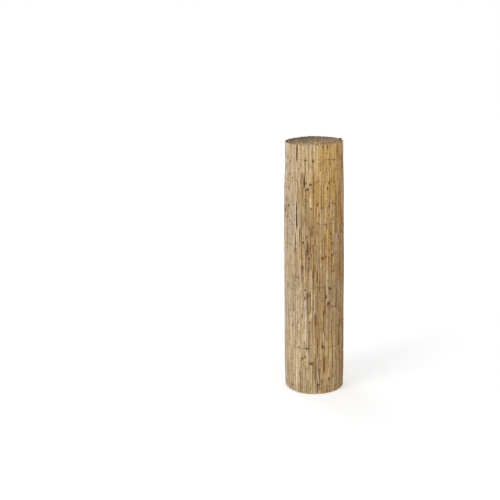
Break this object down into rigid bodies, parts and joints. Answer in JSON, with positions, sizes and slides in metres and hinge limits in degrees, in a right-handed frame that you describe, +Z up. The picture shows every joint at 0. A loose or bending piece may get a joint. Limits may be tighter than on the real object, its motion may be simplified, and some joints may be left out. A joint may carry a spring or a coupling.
{
  "type": "reed screening mat",
  "caption": "Rolled reed screening mat standing upright on its cut ends, with rows of thin wire lacing the reeds.",
  "frame": {"origin": "middle of the roll's outline on the surface that it stands on", "axes": "+Z up along the reeds, -Y towards the front that the picture shows, the free edge at the back"},
  "size_m": [0.2834, 0.2918, 1.2],
  "materials": {
    "reed": "dry, streaked, matt to satin",
    "wire": "dull galvanised"
  },
  "bodies": {
    "root": {"reed_mat": "reed", "binding_wire_01": "wire", "binding_wire_02": "wire", "binding_wire_03": "wire", "binding_wire_04": "wire", "binding_wire_05": "wire", "binding_wire_06": "wire", "binding_wire_07": "wire", "binding_wire_08": "wire", "binding_wire_09": "wire", "binding_wire_10": "wire", "binding_wire_11": "wire", "binding_wire_12": "wire"}
  },
  "joints": []
}
